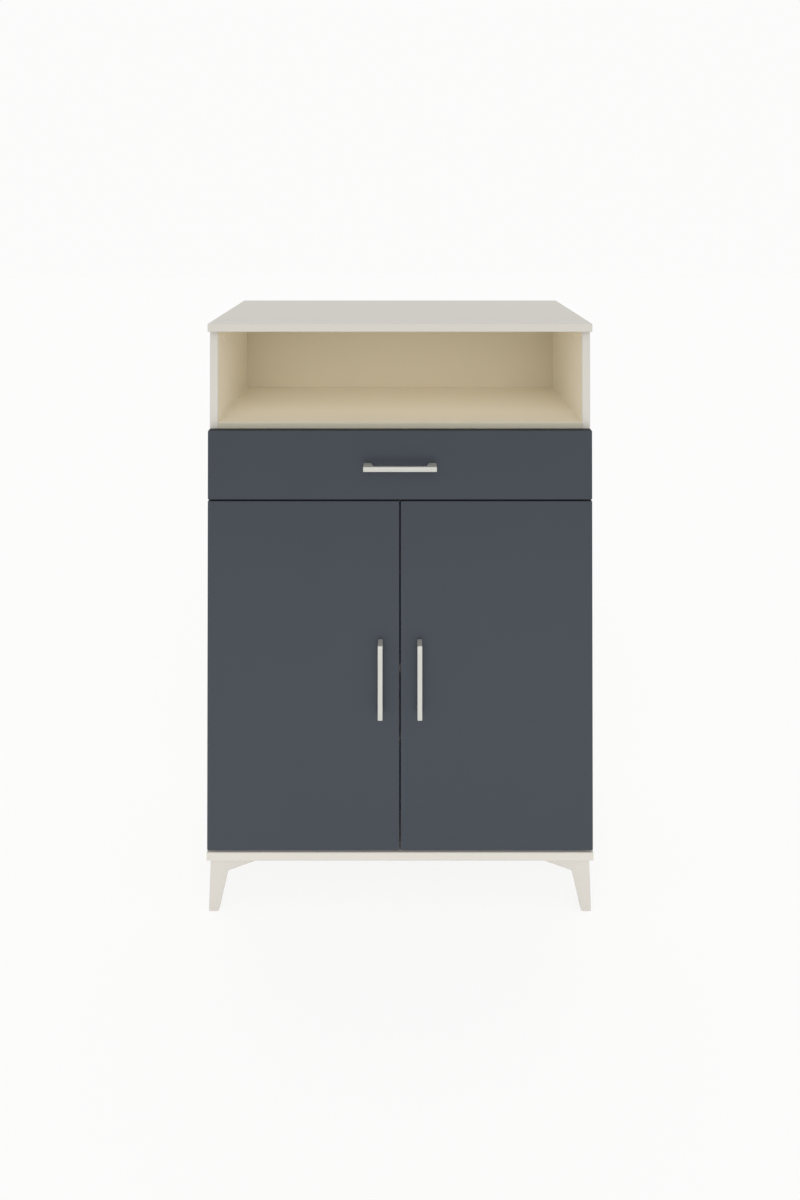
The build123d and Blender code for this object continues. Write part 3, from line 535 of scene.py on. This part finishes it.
# Modelling by hand
def begin(add_primitive, **settings):
    """Add a primitive with nothing else selected, set its place in its mesh and open it for editing."""
    bpy.ops.object.select_all(action="DESELECT")
    add_primitive(**settings)
    bpy.ops.object.transform_apply(location=True, rotation=True, scale=True)
    bpy.ops.object.mode_set(mode="EDIT")
    return bpy.context.object


def alone(piece):
    """Select one piece and nothing else."""
    bpy.ops.object.select_all(action="DESELECT")
    piece.select_set(True)
    bpy.context.view_layer.objects.active = piece


def centre(face):
    """Middle of a face."""
    return sum((vert.co for vert in face.verts), Vector()) / len(face.verts)


def pick(piece, kind, wanted):
    """Select the vertices, edges or faces that pass a test."""
    bpy.ops.mesh.select_mode(type=kind)
    bpy.ops.mesh.select_all(action="DESELECT")
    mesh = bmesh.from_edit_mesh(piece.data)
    parts = {"VERT": mesh.verts, "EDGE": mesh.edges, "FACE": mesh.faces}[kind]
    found = [part for part in parts if wanted(part)]
    if not found:
        raise RuntimeError("nothing to select on " + piece.name)
    for part in found:
        part.select_set(True)
    mesh.select_flush_mode()
    bmesh.update_edit_mesh(piece.data)


def close_edit(piece, edge=0.0, segments=3, sharp=SHARP_EDGE):
    """Leave edit mode, round the sharp edges and smooth the shading."""
    bpy.ops.object.mode_set(mode="OBJECT")
    alone(piece)
    if edge:
        bpy.ops.object.modifier_add(type="BEVEL")
        modifier = piece.modifiers[-1]
        modifier.width = edge
        modifier.segments = segments
        modifier.limit_method = "ANGLE"
        modifier.angle_limit = sharp
        bpy.ops.object.modifier_apply(modifier=modifier.name)
    bpy.ops.object.shade_smooth_by_angle(angle=SMOOTH_ANGLE)
    return piece


def set_out(model, places):
    """Copies of a model, each with its own mesh, seated and facing as told, joined as one piece."""
    copies = []
    for seat, facing, scale in places:
        alone(model)
        bpy.ops.object.duplicate(linked=False)
        copy = bpy.context.object
        turn = UP.rotation_difference(Vector(facing))
        copy.matrix_world = Matrix.LocRotScale(Vector(seat), turn, Vector(scale))
        bpy.ops.object.transform_apply(location=True, rotation=True, scale=True)
        copies.append(copy)
    alone(copies[0])
    for copy in copies:
        copy.select_set(True)
    bpy.ops.object.join()
    return copies[0]


def keep(piece, name, body, slot, material, *nodes):
    """Name a finished piece, give it its finish, and say what it rides on; hide the CAD nodes that it stands in
    for.
    """
    piece.name = name
    piece.data.name = name
    piece.data.materials.clear()
    piece.data.materials.append(material)
    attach(piece, body)
    if nodes:
        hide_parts(*nodes)


def rounded_copy(node, edge):
    """Copy of a CAD node with merged points and softly rounded edges."""
    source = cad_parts[node]
    copy = source.copy()
    copy.data = source.data.copy()
    copy.parent = None
    for key in list(copy.keys()):
        del copy[key]
    bpy.context.scene.collection.objects.link(copy)
    alone(copy)
    bpy.ops.object.mode_set(mode="EDIT")
    bpy.ops.mesh.select_all(action="SELECT")
    bpy.ops.mesh.remove_doubles(threshold=SAME_POINT)
    bpy.ops.mesh.dissolve_limited(angle_limit=SAME_FACE)
    bpy.ops.mesh.normals_make_consistent(inside=False)
    return close_edit(copy, edge, 2, SMOOTH_ANGLE)


def model_disc(radius, height, sides, shoulder):
    """Round disc with a soft shoulder, standing at the origin and facing up, still open for editing."""
    disc = begin(bpy.ops.mesh.primitive_cylinder_add, vertices=sides, radius=radius, depth=height,
                 location=(0.0, 0.0, height / 2))
    pick(disc, "EDGE", lambda edge: all(vert.co.z > height / 2 for vert in edge.verts))
    bpy.ops.mesh.bevel(offset=shoulder, segments=4, profile=0.5, affect="EDGES")
    return disc


def model_screw(sizes):
    """Pan head with a cross recess on a short shank, standing at the origin and facing up."""
    radius = sizes.screw_radius
    height = sizes.screw_height
    head = model_disc(radius, height, sizes.screw_sides, height * HEAD_SHOULDER)
    pick(head, "FACE", lambda face: face.normal.z < -FACING)
    bpy.ops.mesh.inset(thickness=radius * SHANK_INSET, depth=0.0)
    bpy.ops.mesh.extrude_region_move(TRANSFORM_OT_translate={"value": (0.0, 0.0, -SHANK_LENGTH * height)})
    bpy.ops.object.mode_set(mode="OBJECT")
    arm = radius * RECESS_ARM
    cutter_half = CUTTER_HALF * arm
    cutter = begin(bpy.ops.mesh.primitive_cube_add, size=arm, location=(0.0, 0.0, height),
                   scale=(1.0, 1.0, 2 * CUTTER_HALF))
    pick(cutter, "FACE", lambda face: abs(face.normal.z) < UPRIGHT)
    bpy.ops.mesh.extrude_faces_move(TRANSFORM_OT_shrink_fatten={"value": radius * RECESS_REACH})
    pick(cutter, "VERT", lambda vert: vert.co.z < height)
    bpy.ops.transform.resize(value=(RECESS_FOOT, RECESS_FOOT, 1.0),
                             center_override=(0.0, 0.0, height - cutter_half))
    bpy.ops.transform.translate(value=(0.0, 0.0, cutter_half - height * RECESS_DEPTH))
    bpy.ops.object.mode_set(mode="OBJECT")
    alone(head)
    bpy.ops.object.modifier_add(type="BOOLEAN")
    modifier = head.modifiers[-1]
    modifier.operation = "DIFFERENCE"
    modifier.solver = "EXACT"
    modifier.object = cutter
    bpy.ops.object.modifier_apply(modifier=modifier.name)
    bpy.data.objects.remove(cutter)
    bpy.ops.object.shade_smooth_by_angle(angle=SMOOTH_ANGLE)
    return head


def screws(sizes, places):
    """Screws joined as one piece: each place has a seat, a facing, and the radius and height of its head."""
    model = model_screw(sizes)
    scaled = []
    for seat, facing, (radius, height) in places:
        wide = radius / sizes.screw_radius
        scaled.append((seat, facing, (wide, wide, height / sizes.screw_height)))
    piece = set_out(model, scaled)
    bpy.data.objects.remove(model)
    return piece


class CABINET_OT_boards(bpy.types.Operator):
    """Finish the cabinet's boards, its back and its shelf"""
    bl_idname = "cabinet.boards"
    bl_label = "Boards and back"

    def execute(self, context):
        colours = context.scene.cabinet_colours
        dress(white_board(colours), "top_panel", "bottom_panel", "left_side_panel", "right_side_panel",
              "drawer_divider", "adjustable_shelf")
        dress(niche_board_painted_shade(colours), "niche_floor")
        dress(thin_board(colours), "back_panel", "drawer_bottom")
        return {"FINISHED"}


class CABINET_OT_fronts(bpy.types.Operator):
    """Finish the two doors and the drawer front"""
    bl_idname = "cabinet.fronts"
    bl_label = "Fronts"

    def execute(self, context):
        dress(dark_board(context.scene.cabinet_colours), "drawer_front", "left_door", "right_door")
        return {"FINISHED"}


class CABINET_OT_handles(bpy.types.Operator):
    """Model one bar handle, copy it to the drawer and both doors, and fit their screws"""
    bl_idname = "cabinet.handles"
    bl_label = "Bar handles"

    def execute(self, context):
        sizes = context.scene.cabinet_sizes
        colours = context.scene.cabinet_colours
        low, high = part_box("drawer_handle")
        middle = (low + high) / 2
        piece = self.model(sizes, low, high)
        across = satin_metal("satin_bar_across", colours.handle, (0.03, 1.0, 1.0))
        upright = satin_metal("satin_bar_upright", colours.handle, (1.0, 1.0, 0.03))
        zinc = plated_steel("zinc_handle_screw", colours.screw, 0.28)
        for side in SIDE_NAMES:
            node = side + "_door_handle"
            door_low, door_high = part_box(node)
            door_middle = (door_low + door_high) / 2
            alone(piece)
            bpy.ops.object.duplicate(linked=False)
            copy = bpy.context.object
            turn = Matrix.Rotation(radians(90.0), 4, "Y")
            copy.matrix_world = Matrix.Translation(door_middle) @ turn @ Matrix.Translation(-middle)
            bpy.ops.object.transform_apply(location=True, rotation=True, scale=True)
            keep(copy, side + "_door_bar_handle", side + "_door", "handle_metal", upright, node)
        keep(piece, "drawer_bar_handle", "drawer", "handle_metal", across, "drawer_handle")
        run = sizes.handle_screw_half
        runs = {"drawer": (run, 0.0, 0.0), "left_door": (0.0, 0.0, run), "right_door": (0.0, 0.0, run)}
        for body, along in runs.items():
            node = body + "_handle_screws"
            box_low, box_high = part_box(node)
            seat = (box_low + box_high) / 2
            seat.y = FRONT_REAR_Y
            places = [(seat + Vector(along) * sign, (0.0, 1.0, 0.0), HANDLE_HEAD) for sign in (-1, 1)]
            keep(screws(sizes, places), body + "_handle_pan_screws", body, "screw_steel", zinc, node)
        return {"FINISHED"}

    def model(self, sizes, low, high):
        """Bar on two feet, which taper towards the front that they stand on."""
        middle = (low + high) / 2
        span = high - low
        bar = sizes.handle_bar
        end = span.x / 2
        foot = end - sizes.handle_foot_bar
        taper = sizes.handle_foot_bar - sizes.handle_foot_base
        piece = begin(bpy.ops.mesh.primitive_cube_add, size=1.0, location=(middle.x, low.y + bar / 2, middle.z),
                      scale=(span.x, bar, span.z))
        for side in SIDE_NAMES.values():
            bpy.ops.mesh.select_all(action="SELECT")
            bpy.ops.mesh.bisect(plane_co=(side * foot, 0.0, 0.0), plane_no=(1.0, 0.0, 0.0))
        pick(piece, "FACE", lambda face: face.normal.y > FACING and abs(centre(face).x) > foot)
        bpy.ops.mesh.extrude_region_move(TRANSFORM_OT_translate={"value": (0.0, span.y - bar, 0.0)})
        for side in SIDE_NAMES.values():
            pick(piece, "VERT",
                 lambda vert: vert.co.y > high.y - NEAR and 0 < side * vert.co.x < end - FOOT_CORNER)
            bpy.ops.transform.translate(value=(side * taper, 0.0, 0.0))
        return close_edit(piece, sizes.handle_edge)


class CABINET_OT_legs(bpy.types.Operator):
    """Round the moulded legs' edges and fit their screws"""
    bl_idname = "cabinet.legs"
    bl_label = "Legs"

    def execute(self, context):
        sizes = context.scene.cabinet_sizes
        colours = context.scene.cabinet_colours
        plastic = moulded_plastic("moulded_leg", colours.leg, 0.40)
        for node in LEG_NODES:
            leg = rounded_copy(node, sizes.leg_edge)
            keep(leg, node + "_moulding", "carcass", "leg_plastic", plastic, node)
        low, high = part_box("front_left_leg")
        corner_x = -low.x - sizes.leg_lean
        corner_y = low.y + sizes.leg_lean
        seat_z = high.z - sizes.leg_plate
        wings = ((sizes.leg_screw_run, sizes.leg_screw_off), (sizes.leg_screw_off, sizes.leg_screw_run))
        places = []
        for run, off in wings:
            for sign in SIDE_NAMES.values():
                for depth in (corner_y + off, FRONT_Y + CAD_HIGH.y - corner_y - off):
                    places.append(((sign * (corner_x - run), depth, seat_z), (0.0, 0.0, -1.0), LEG_HEAD))
        zinc = plated_steel("zinc_leg_screw", colours.screw, 0.28)
        keep(screws(sizes, places), "leg_pan_screws", "carcass", "screw_steel", zinc, "leg_screws")
        return {"FINISHED"}


class CABINET_OT_hinges(bpy.types.Operator):
    """Round the hinges' pressed edges and fit the plate, arm and cup screws"""
    bl_idname = "cabinet.hinges"
    bl_label = "Cup hinges"

    def execute(self, context):
        sizes = context.scene.cabinet_sizes
        colours = context.scene.cabinet_colours
        edge = sizes.steel_edge
        nickel = plated_steel("nickel_hinge", colours.hinge, 0.20)
        zinc = plated_steel("zinc_hinge_screw", colours.screw, 0.26)
        arm_x = INNER_X - sizes.arm_screw_in
        arm_y = CARCASS_Y + sizes.arm_screw_back
        plate_x = INNER_X - sizes.plate_screw_in
        plate_y = CARCASS_Y + sizes.plate_screw_back
        cup_x = FRONT_HALF - sizes.cup_screw_in
        places = []
        for name in HINGE_NAMES:
            side = name.split("_")[1]
            sign = SIDE_NAMES[side]
            door = side + "_door"
            cup = name + "_hinge_cup"
            arm = name + "_hinge_arm"
            keep(rounded_copy(cup, edge), name + "_pressed_cup", door, "hinge_steel", nickel, cup)
            keep(rounded_copy(arm, edge), name + "_pressed_arm", "carcass", "hinge_steel", nickel, arm)
            cup_low, cup_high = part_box(cup)
            level = (cup_low.z + cup_high.z) / 2
            inward = (-sign, 0.0, 0.0)
            places.append(((sign * arm_x, arm_y, level), inward, ARM_HEAD))
            cup_places = []
            for way in (-1, 1):
                plate_z = level + way * sizes.plate_screw_half
                cup_z = level + way * sizes.cup_screw_half
                places.append(((sign * plate_x, plate_y, plate_z), inward, PLATE_HEAD))
                cup_places.append(((sign * cup_x, cup_high.y, cup_z), (0.0, 1.0, 0.0), CUP_HEAD))
            keep(screws(sizes, cup_places), name + "_cup_screws", door, "screw_steel", zinc)
        for side in SIDE_NAMES:
            node = side + "_hinge_plates"
            keep(rounded_copy(node, edge), side + "_pressed_plates", "carcass", "hinge_steel", nickel, node)
        keep(screws(sizes, places), "hinge_pan_screws", "carcass", "screw_steel", zinc, "hinge_plate_screws")
        return {"FINISHED"}


class CABINET_OT_drawer_box(bpy.types.Operator):
    """Finish the drawer box and fit its screws, and finish the dowels"""
    bl_idname = "cabinet.drawer_box"
    bl_label = "Drawer box"

    def execute(self, context):
        sizes = context.scene.cabinet_sizes
        colours = context.scene.cabinet_colours
        dress(drawer_board(colours), "left_drawer_side", "right_drawer_side", "drawer_back")
        low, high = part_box("drawer_back")
        side_low, side_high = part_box("right_drawer_side")
        seat_x = side_high.x - sizes.drawer_screw_sunk
        seat_y = (low.y + high.y) / 2
        places = []
        for sign in SIDE_NAMES.values():
            for rise in (sizes.drawer_screw_low, sizes.drawer_screw_high):
                places.append(((sign * seat_x, seat_y, side_low.z + rise), (sign, 0.0, 0.0), DRAWER_HEAD))
        zinc = plated_steel("zinc_drawer_screw", colours.screw, 0.28)
        sunk = screws(sizes, places)
        keep(sunk, "drawer_back_sunk_screws", "drawer", "screw_steel", zinc, "drawer_back_screws")
        dress(beech(colours), "drawer_dowels", "dowels")
        return {"FINISHED"}


class CABINET_OT_runners(bpy.types.Operator):
    """Finish the runners and rollers and fit the runner screws"""
    bl_idname = "cabinet.runners"
    bl_label = "Runners"

    def execute(self, context):
        sizes = context.scene.cabinet_sizes
        colours = context.scene.cabinet_colours
        paint = baked_paint(colours)
        nylon = moulded_plastic("roller_nylon", colours.roller, 0.34)
        zinc = plated_steel("zinc_runner_screw", colours.screw, 0.28)
        wall_x = INNER_X - sizes.runner_sheet
        wall_y = CARCASS_Y + sizes.runner_screw_shift
        drawer_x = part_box("right_drawer_side")[1].x + sizes.runner_sheet
        first = sizes.runner_screw_front
        runs = (first, first + sizes.runner_screw_apart)
        for side, sign in SIDE_NAMES.items():
            dress(paint, side + "_cabinet_runner", side + "_drawer_runner")
            dress(nylon, side + "_front_roller", side + "_rear_roller")
            roller_low, roller_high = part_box(side + "_front_roller")
            level = (roller_low.z + roller_high.z) / 2
            fixed = [((sign * wall_x, wall_y + run, level), (-sign, 0.0, 0.0), RUNNER_HEAD) for run in runs]
            keep(screws(sizes, fixed), side + "_cabinet_runner_screws", "carcass", "screw_steel", zinc)
            moving = [((sign * drawer_x, FRONT_REAR_Y + run, level), (sign, 0.0, 0.0), RUNNER_HEAD)
                      for run in runs]
            keep(screws(sizes, moving), side + "_drawer_runner_screws", "drawer", "screw_steel", zinc)
        return {"FINISHED"}


class CABINET_OT_fittings(bpy.types.Operator):
    """Model the cam caps and the bumpers, and finish the cams, bolts and shelf pins"""
    bl_idname = "cabinet.fittings"
    bl_label = "Caps, bumpers and pins"

    def execute(self, context):
        sizes = context.scene.cabinet_sizes
        colours = context.scene.cabinet_colours
        dress(plated_steel("cast_zinc_cam", colours.cam, 0.42), "cam_locks")
        dress(plated_steel("zinc_bolt_and_pin", colours.screw, 0.28), "cam_bolts", "shelf_pins")
        cap_low, cap_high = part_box("cam_caps")
        radius = sizes.cap_radius
        rows = (cap_low.y + radius, cap_high.y - radius)
        levels = (cap_low.z + radius, cap_high.z - radius)
        cap = close_edit(model_disc(radius, sizes.cap_height, sizes.round_sides, sizes.cap_shoulder))
        places = [((sign * INNER_X, row, level), (-sign, 0.0, 0.0), FULL_SIZE)
                  for sign in SIDE_NAMES.values() for row in rows for level in levels]
        plastic = moulded_plastic("moulded_cap", colours.cap, 0.38)
        keep(set_out(cap, places), "round_cam_caps", "carcass", "cap_plastic", plastic, "cam_caps")
        bpy.data.objects.remove(cap)
        low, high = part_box("bumpers")
        radius = sizes.bumper_radius
        bumper = close_edit(model_disc(radius, CARCASS_Y - low.y, sizes.round_sides, sizes.bumper_shoulder))
        seats = ((sizes.door_bumper_x, low.z + radius), (INNER_X - sizes.drawer_bumper_in, high.z - radius))
        places = [((sign * x, CARCASS_Y, z), (0.0, -1.0, 0.0), FULL_SIZE)
                  for sign in SIDE_NAMES.values() for x, z in seats]
        rubber = moulded_plastic("soft_bumper", colours.bumper, 0.55)
        keep(set_out(bumper, places), "round_bumpers", "carcass", "bumper_rubber", rubber, "bumpers")
        bpy.data.objects.remove(bumper)
        return {"FINISHED"}


class CABINET_OT_stage(bpy.types.Operator):
    """Lay the pale floor, set the light and place the camera"""
    bl_idname = "cabinet.stage"
    bl_label = "Stage"

    def execute(self, context):
        stage = context.scene.cabinet_stage
        scene = context.scene
        scene.view_settings.view_transform = "Standard"
        bpy.ops.object.select_all(action="DESELECT")
        bpy.ops.mesh.primitive_plane_add(size=stage.floor_size, location=(0.0, 0.0, 0.0))
        floor = bpy.context.object
        floor.name = "pale_floor"
        finish = Finish("pale_floor")
        pale = finish.add("ShaderNodeBsdfDiffuse", {}, {"Color": stage.floor})
        white = finish.add("ShaderNodeEmission", {}, {"Color": stage.floor_white})
        share = finish.in_sight() * stage.floor_share
        both = finish.add("ShaderNodeMixShader", {}, {0: share, 1: pale, 2: white})
        finish.add("ShaderNodeOutputMaterial", {}, {"Surface": both})
        floor.data.materials.append(finish.owner)
        self.light(scene, stage)
        camera = bpy.data.cameras.new("catalogue_camera")
        camera.lens = stage.camera_lens
        camera.sensor_fit = "VERTICAL"
        camera.sensor_width, camera.sensor_height = SENSOR
        camera.shift_y = stage.camera_shift
        stand = bpy.data.objects.new("catalogue_camera", camera)
        stand.location = (0.0, FRONT_Y - stage.camera_distance, stage.camera_height)
        stand.rotation_euler = (radians(90.0) + stage.camera_pitch, 0.0, 0.0)
        scene.collection.objects.link(stand)
        scene.camera = stand
        return {"FINISHED"}

    def light(self, scene, stage):
        """Even light from all round, a soft lamp before the front and a weak one low before the foot."""
        sky = Finish("studio", "worlds")
        soft = sky.add("ShaderNodeBackground", {}, {"Color": stage.sky, "Strength": stage.world_level})
        backdrop = sky.add("ShaderNodeBackground", {}, {"Color": stage.backdrop})
        both = sky.add("ShaderNodeMixShader", {}, {0: sky.in_sight(), 1: soft, 2: backdrop})
        sky.add("ShaderNodeOutputWorld", {}, {"Surface": both})
        scene.world = sky.owner
        lamp = bpy.data.lights.new("soft_lamp", "SUN")
        lamp.energy = stage.lamp_level
        lamp.angle = stage.lamp_angle
        hung = bpy.data.objects.new("soft_lamp", lamp)
        hung.rotation_euler = (radians(90.0) - stage.lamp_rise, 0.0, 0.0)
        scene.collection.objects.link(hung)
        low_lamp = bpy.data.lights.new("low_lamp", "AREA")
        low_lamp.energy = stage.low_lamp_power
        low_lamp.shape = "RECTANGLE"
        low_lamp.size = stage.low_lamp_wide
        low_lamp.size_y = stage.low_lamp_high
        low_lamp.spread = stage.low_lamp_spread
        stood = bpy.data.objects.new("low_lamp", low_lamp)
        stood.location = (0.0, FRONT_Y - stage.low_lamp_distance, stage.low_lamp_height)
        stood.rotation_euler = (radians(90.0) + stage.low_lamp_tilt, 0.0, 0.0)
        stood.visible_camera = False
        stood.visible_glossy = False
        scene.collection.objects.link(stood)


class CABINET_PT_pieces(bpy.types.Panel):
    """Pieces of the storage cabinet"""
    bl_idname = "CABINET_PT_pieces"
    bl_label = "Storage cabinet"
    bl_space_type = "VIEW_3D"
    bl_region_type = "UI"
    bl_category = "Cabinet"

    def draw(self, context):
        for operator in OPERATORS:
            self.layout.operator(operator.bl_idname)


OPERATORS = (
    CABINET_OT_stage,
    CABINET_OT_boards,
    CABINET_OT_fronts,
    CABINET_OT_handles,
    CABINET_OT_legs,
    CABINET_OT_hinges,
    CABINET_OT_drawer_box,
    CABINET_OT_runners,
    CABINET_OT_fittings,
)
SETTINGS = {"cabinet_colours": CabinetColours, "cabinet_sizes": CabinetSizes, "cabinet_stage": CabinetStage}


def register():
    for group in SETTINGS.values():
        bpy.utils.register_class(group)
    for name, group in SETTINGS.items():
        setattr(bpy.types.Scene, name, PointerProperty(type=group))
    for operator in OPERATORS:
        bpy.utils.register_class(operator)
    bpy.utils.register_class(CABINET_PT_pieces)


def unregister():
    bpy.utils.unregister_class(CABINET_PT_pieces)
    for operator in reversed(OPERATORS):
        bpy.utils.unregister_class(operator)
    for name, group in SETTINGS.items():
        delattr(bpy.types.Scene, name)
        bpy.utils.unregister_class(group)


def main():
    register()
    bpy.ops.cabinet.stage()
    bpy.ops.cabinet.boards()
    bpy.ops.cabinet.fronts()
    bpy.ops.cabinet.handles()
    bpy.ops.cabinet.legs()
    bpy.ops.cabinet.hinges()
    bpy.ops.cabinet.drawer_box()
    bpy.ops.cabinet.runners()
    bpy.ops.cabinet.fittings()


if __name__ == "__main__":
    main()
